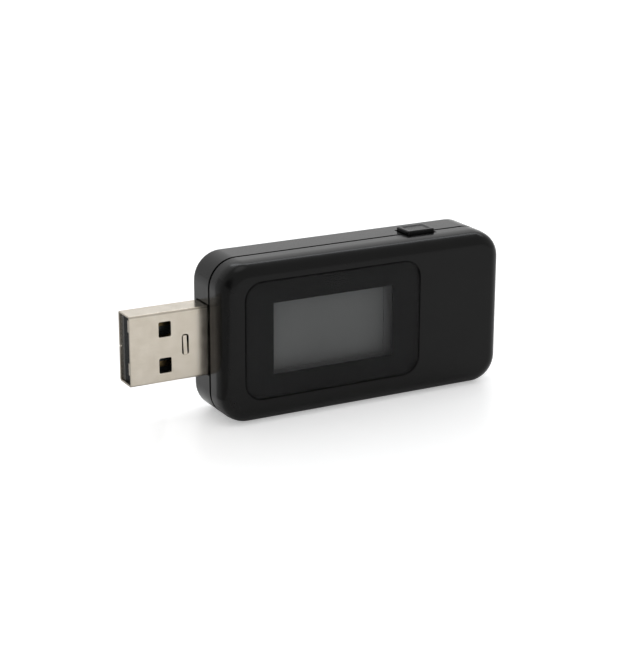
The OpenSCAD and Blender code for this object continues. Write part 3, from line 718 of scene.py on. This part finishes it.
def build_plug_shell():
    """The plug's shell: drawn tube with latch windows, a lanced tab, folded lips and a back seam."""
    low, high = PLUG_LOW, PLUG_HIGH
    shell = build_plug_sleeve()
    cutters = []
    window_x0, window_x1, window_half_h = low.x + 5.16, low.x + 7.28, 1.26
    for side in (-1, 1):
        z = MID_Z + side * WINDOW_PITCH / 2
        cutters.append(box_cutter("cut_window", window_x0, window_x1, low.y - 1, high.y + 1,
                                  z - window_half_h, z + window_half_h, 0.25))
    slot_x, slot_z, slot_w, slot_h = -4.75, MID_Z - 1.7, 1.15, 3.4
    cutters.append(box_cutter("cut_slot", slot_x, slot_x + slot_w, low.y - 1, low.y + 1,
                              slot_z, slot_z + slot_h, 0.4))
    # The sheet's two ends meet along the middle of the back.
    seam = 0.03
    cutters.append(box_cutter("cut_seam", low.x - 1, PLUG_BACK + 1, high.y - SHEET - 0.1,
                              high.y + 1, MID_Z - seam, MID_Z + seam))
    cut(shell, cutters)
    bevel = shell.modifiers.new("stamped edges", "BEVEL")
    bevel.width = 0.09 * MM
    bevel.segments = 2
    bevel.limit_method = "ANGLE"
    bevel.angle_limit = math.radians(60)
    bm = bmesh.new()
    # The tab grows from the slot's lower end and bows into the plug.
    gap, sink, root = 0.24, 0.24, low.y + SHEET / 2
    tab = [(slot_z - 0.15, root)]
    for step in range(9):
        t = step / 8
        tab.append((slot_z + 0.25 + t * (slot_h - 0.5), root + sink * math.sin(t * math.pi / 2)))
    add_strip(bm, tab, slot_w / 2 - gap, slot_x + slot_w / 2, STRIP, upright=True)
    # Two lips of the front wall are folded in at the mouth.
    lip_x, lip_mid_z, lip_offset = low.x + SHEET / 2, MID_Z + 0.65, 3.63
    lip = [(lip_x, low.y + 0.12), (lip_x, low.y + SHEET + 0.35), (lip_x + 0.05, low.y + SHEET + 0.55)]
    for side in (-1, 1):
        add_strip(bm, lip, 1.0, lip_mid_z + side * lip_offset, STRIP)
    # The solder tabs run on from the tube's narrow sides, into the case.
    mid_y, tab_end, tab_w = (low.y + high.y) / 2, 6.8, 2.0
    for side in (-1, 1):
        z = MID_Z + side * (high.z - low.z - SHEET) / 2
        add_strip(bm, [(PLUG_BACK - 0.1, mid_y), (tab_end, mid_y)], SHEET / 2, z, tab_w)
    return shell, finish_mesh(bm, "plug_tabs")


def build_socket_shell():
    """The socket's shell: its mouth flares slightly, and four spring tabs bend inwards."""
    low = (SOCKET_LOW.y, MID_Z - SOCKET_HALF_W)
    high = (SOCKET_HIGH.y, MID_Z + SOCKET_HALF_W)
    x0, x1 = SOCKET_LOW.x, SOCKET_HIGH.x
    bm = bmesh.new()
    mouth = [(SHEET, x0), (SHEET, x1 - 0.35), (SHEET - 0.06, x1 - 0.12), (SHEET - 0.14, x1),
             (0.04, x1), (0.0, x1 - 0.05), (0.0, x0)]
    rings = [section(low, high, inset, x, 0.6 - inset * 0.5, 6) for inset, x in mouth]
    loft(bm, rings, loop=True)
    shell = finish_mesh(bm, "socket_sleeve")
    slots = []
    tab_l, tab_w, tab_z, slot = 5.0, 2.0, 3.1, 0.25
    end = x1 - 2.0
    for side in (-1, 1):
        z = MID_Z + side * tab_z
        slots.append(box_cutter("cut_tab", end - tab_l, end, low[0] - 1, high[0] + 1,
                                z - tab_w / 2 - slot, z + tab_w / 2 + slot, 0.12))
    cut(shell, slots)
    springs = bmesh.new()
    spring_bend, spring_t = 0.30, 0.22
    for side in (-1, 1):
        z = MID_Z + side * tab_z
        for face, way in ((low[0] + SHEET / 2, 1), (high[0] - SHEET / 2, -1)):
            bend = [(end - tab_l - 0.1, face)]
            for step in range(1, 9):
                t = step / 8
                bend.append((end - tab_l + t * (tab_l - slot),
                             face + way * spring_bend * math.sin(math.pi * t * 0.75)))
            add_strip(springs, bend, tab_w / 2, z, spring_t)
    # An ear on each side holds the shell to the board.
    ear_half_w, ear = 0.85, [(44, 7.4), (46, 7.4)]
    for side in (-1, 1):
        z = MID_Z + side * (SOCKET_HALF_W + 0.8)
        add_strip(springs, ear, ear_half_w, z, SHEET)
    return shell, finish_mesh(springs, "socket_springs")


# ------------------------------------------------------------------ assembling

def dress_cad_nodes(materials):
    """Every CAD node takes its record slot's material."""
    slots = {part["node"]: part["material_slot"] for part in frame["record"]["subparts"]}
    for name, obj in frame["nodes"].items():
        paint(obj, materials[slots[name]])


def add_piece(obj, body, slot, materials, *nodes):
    """Puts a piece on a body with a record slot's finish, in place of the CAD nodes named."""
    paint(obj, materials[slot])
    # Large flat faces keep their own normals beside small rounded edges.
    flat = obj.modifiers.new("flat faces", "WEIGHTED_NORMAL")
    flat.keep_sharp = True
    flat.weight = 90
    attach(obj, body)
    if nodes:
        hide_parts(*nodes)


def build_object():
    materials = make_materials()
    dress_cad_nodes(materials)
    add_piece(build_front_cover(), "case", "case_plastic", materials, "front_cover")
    add_piece(build_rear_cover(), "case", "case_plastic", materials, "rear_cover")
    lens = build_lens()
    add_piece(lens, "case", "lens_acrylic", materials, "display_lens")
    # The second slot gives the lens's edges black ink as painted shade in the gap round the lens.
    lens.data.materials.append(materials["mask_ink"])
    add_piece(build_key(), "key", "key_plastic", materials, "button_cap")
    sleeve, tabs = build_plug_shell()
    add_piece(sleeve, "case", "plug_metal", materials, "plug_shell")
    add_piece(tabs, "case", "plug_metal", materials)
    sleeve, springs = build_socket_shell()
    add_piece(sleeve, "case", "socket_metal", materials, "socket_shell")
    add_piece(springs, "case", "socket_metal", materials)


# ------------------------------------------------------------------ studio

VIEW_AZIMUTH, VIEW_ELEVATION, VIEW_ROLL = -28.27, 17.56, 0.1
VIEW_DISTANCE = 313.5
VIEW_AIM = (19.54, 6.22, 11.68)
FOCAL = 99.3


def add_camera():
    """The photograph's camera: it looks at VIEW_AIM, in the case, from VIEW_DISTANCE mm away."""
    azimuth, elevation = math.radians(VIEW_AZIMUTH), math.radians(VIEW_ELEVATION)
    back = Vector((math.sin(azimuth) * math.cos(elevation),
                   -math.cos(azimuth) * math.cos(elevation), math.sin(elevation)))
    right = Vector((math.cos(azimuth), math.sin(azimuth), 0))
    up = back.cross(right)
    turn = Matrix((right, up, back)).transposed() @ Matrix.Rotation(math.radians(VIEW_ROLL), 3, "Z")
    data = bpy.data.cameras.new("camera")
    data.lens = FOCAL
    data.clip_start = 0.01
    camera = bpy.data.objects.new("camera", data)
    where = place(*VIEW_AIM) + back * VIEW_DISTANCE * MM
    camera.matrix_world = Matrix.Translation(where) @ turn.to_4x4()
    bpy.context.scene.collection.objects.link(camera)
    bpy.context.scene.camera = camera


def add_light(name, where, aim, size, power, colour):
    """A rectangular softbox at a place in metres, turned to its aim."""
    data = bpy.data.lights.new(name, "AREA")
    data.shape = "RECTANGLE"
    data.size, data.size_y = size
    data.energy = power
    data.color = colour
    light = bpy.data.objects.new(name, data)
    way = Vector(aim) - Vector(where)
    turn = way.to_track_quat("-Z", "Y").to_matrix().to_4x4()
    light.matrix_world = Matrix.Translation(where) @ turn
    bpy.context.scene.collection.objects.link(light)


def add_flag():
    """A grey card by the photographer's left hand: only mirror-like reflections see it."""
    azimuth = math.radians(VIEW_AZIMUTH)
    right = Vector((math.cos(azimuth), math.sin(azimuth), 0))
    ahead = Vector((-math.sin(azimuth), math.cos(azimuth), 0))
    bm = bmesh.new()
    # Its corners, in mm to the right of, ahead of and above the plug end's corner of the case.
    card = ((-10, -160, 0.3), (-10, 8, 0.3), (-80, 50, 50), (-80, -160, 50))
    corners = [place(0, 0, 0) + (right * u + ahead * v + Vector((0, 0, z))) * MM for u, v, z in card]
    bm.faces.new([bm.verts.new(corner) for corner in corners])
    flag = finish_mesh(bm, "flag")
    m = Nodes("grey_card", Specular_IOR_Level=0.1)
    m.colour(m.colours(m.noise(0.3), (0.60, 0.60, 0.60), (0.64, 0.64, 0.64)))
    m.roughness(m.spread(m.noise(0.3), 0.7, 0.8))
    paint(flag, m.material)
    flag.visible_camera = False
    flag.visible_diffuse = False
    flag.visible_shadow = False


def add_floor():
    """The white, slightly glossy sheet that the meter stands on, lit through from below.

    Reflections see the sheet without its glow and in a brighter tone, so they show the contact shadow.
    """
    bm = bmesh.new()
    bmesh.ops.create_grid(bm, x_segments=1, y_segments=1, size=6.0)
    floor = finish_mesh(bm, "floor")
    m = Nodes("white_sheet", Specular_IOR_Level=0.35)
    m.shader.inputs["Emission Color"].default_value = (1, 1, 1, 1)
    grain = m.noise(0.6, 3.0)
    glow = 0.40
    reflected = m.add("ShaderNodeLightPath").outputs["Is Glossy Ray"]
    m.join(m.spread(reflected, glow, 0.0, 0.0, 1.0), m.shader.inputs["Emission Strength"])
    white = m.colours(grain, (0.84, 0.84, 0.84), (0.86, 0.86, 0.86))
    m.colour(m.mixed(reflected, white, (1.2, 1.2, 1.2)))
    m.roughness(m.spread(grain, 0.3, 0.4))
    paint(floor, m.material)


def add_world():
    """A white tent: bright overhead, dark by the photographer's left hand, even white to the camera."""
    world = bpy.data.worlds.new("studio")
    world.use_nodes = True
    tree = world.node_tree
    tree.nodes.clear()
    way = tree.nodes.new("ShaderNodeTexCoord").outputs["Generated"]

    def lobe(direction, start, end, inside, outside):
        """From outside to inside as the way looked nears a direction, from end to start degrees off."""
        dot = tree.nodes.new("ShaderNodeVectorMath")
        dot.operation = "DOT_PRODUCT"
        tree.links.new(way, dot.inputs[0])
        dot.inputs[1].default_value = Vector(direction).normalized()
        ramp = tree.nodes.new("ShaderNodeMapRange")
        ramp.interpolation_type = "SMOOTHSTEP"
        ramp.inputs["From Min"].default_value = math.cos(math.radians(end))
        ramp.inputs["From Max"].default_value = math.cos(math.radians(start))
        ramp.inputs["To Min"].default_value = outside
        ramp.inputs["To Max"].default_value = inside
        tree.links.new(dot.outputs["Value"], ramp.inputs["Value"])
        return ramp.outputs[0]

    def times(a, b):
        node = tree.nodes.new("ShaderNodeMath")
        node.operation = "MULTIPLY"
        tree.links.new(a, node.inputs[0])
        tree.links.new(b, node.inputs[1])
        return node.outputs[0]

    overhead = lobe((0, 0, 1), start=8, end=25, inside=2.6, outside=0.95)
    left_hand = lobe((-0.85, -0.43, 0.1), start=15, end=45, inside=0.04, outside=1.0)
    level = times(overhead, left_hand)
    level = times(level, lobe((0.3, 1.0, 0.2), start=15, end=70, inside=1.4, outside=0.9))
    lit = tree.nodes.new("ShaderNodeBackground")
    tree.links.new(level, lit.inputs["Strength"])
    seen = tree.nodes.new("ShaderNodeBackground")
    seen.inputs["Strength"].default_value = 1.1
    path = tree.nodes.new("ShaderNodeLightPath")
    mix = tree.nodes.new("ShaderNodeMixShader")
    tree.links.new(path.outputs["Is Camera Ray"], mix.inputs[0])
    tree.links.new(lit.outputs[0], mix.inputs[1])
    tree.links.new(seen.outputs[0], mix.inputs[2])
    output = tree.nodes.new("ShaderNodeOutputWorld")
    tree.links.new(mix.outputs[0], output.inputs["Surface"])
    bpy.context.scene.world = world


def build_studio():
    add_camera()
    add_floor()
    add_flag()
    add_world()
    add_light("strip", where=(0.36, 0.36, 0.62), aim=(0, 0, 0.02), size=(1.1, 0.09), power=1.2,
              colour=(0.92, 0.96, 1.0))
    bpy.context.scene.view_settings.view_transform = "Standard"


build_studio()
build_object()
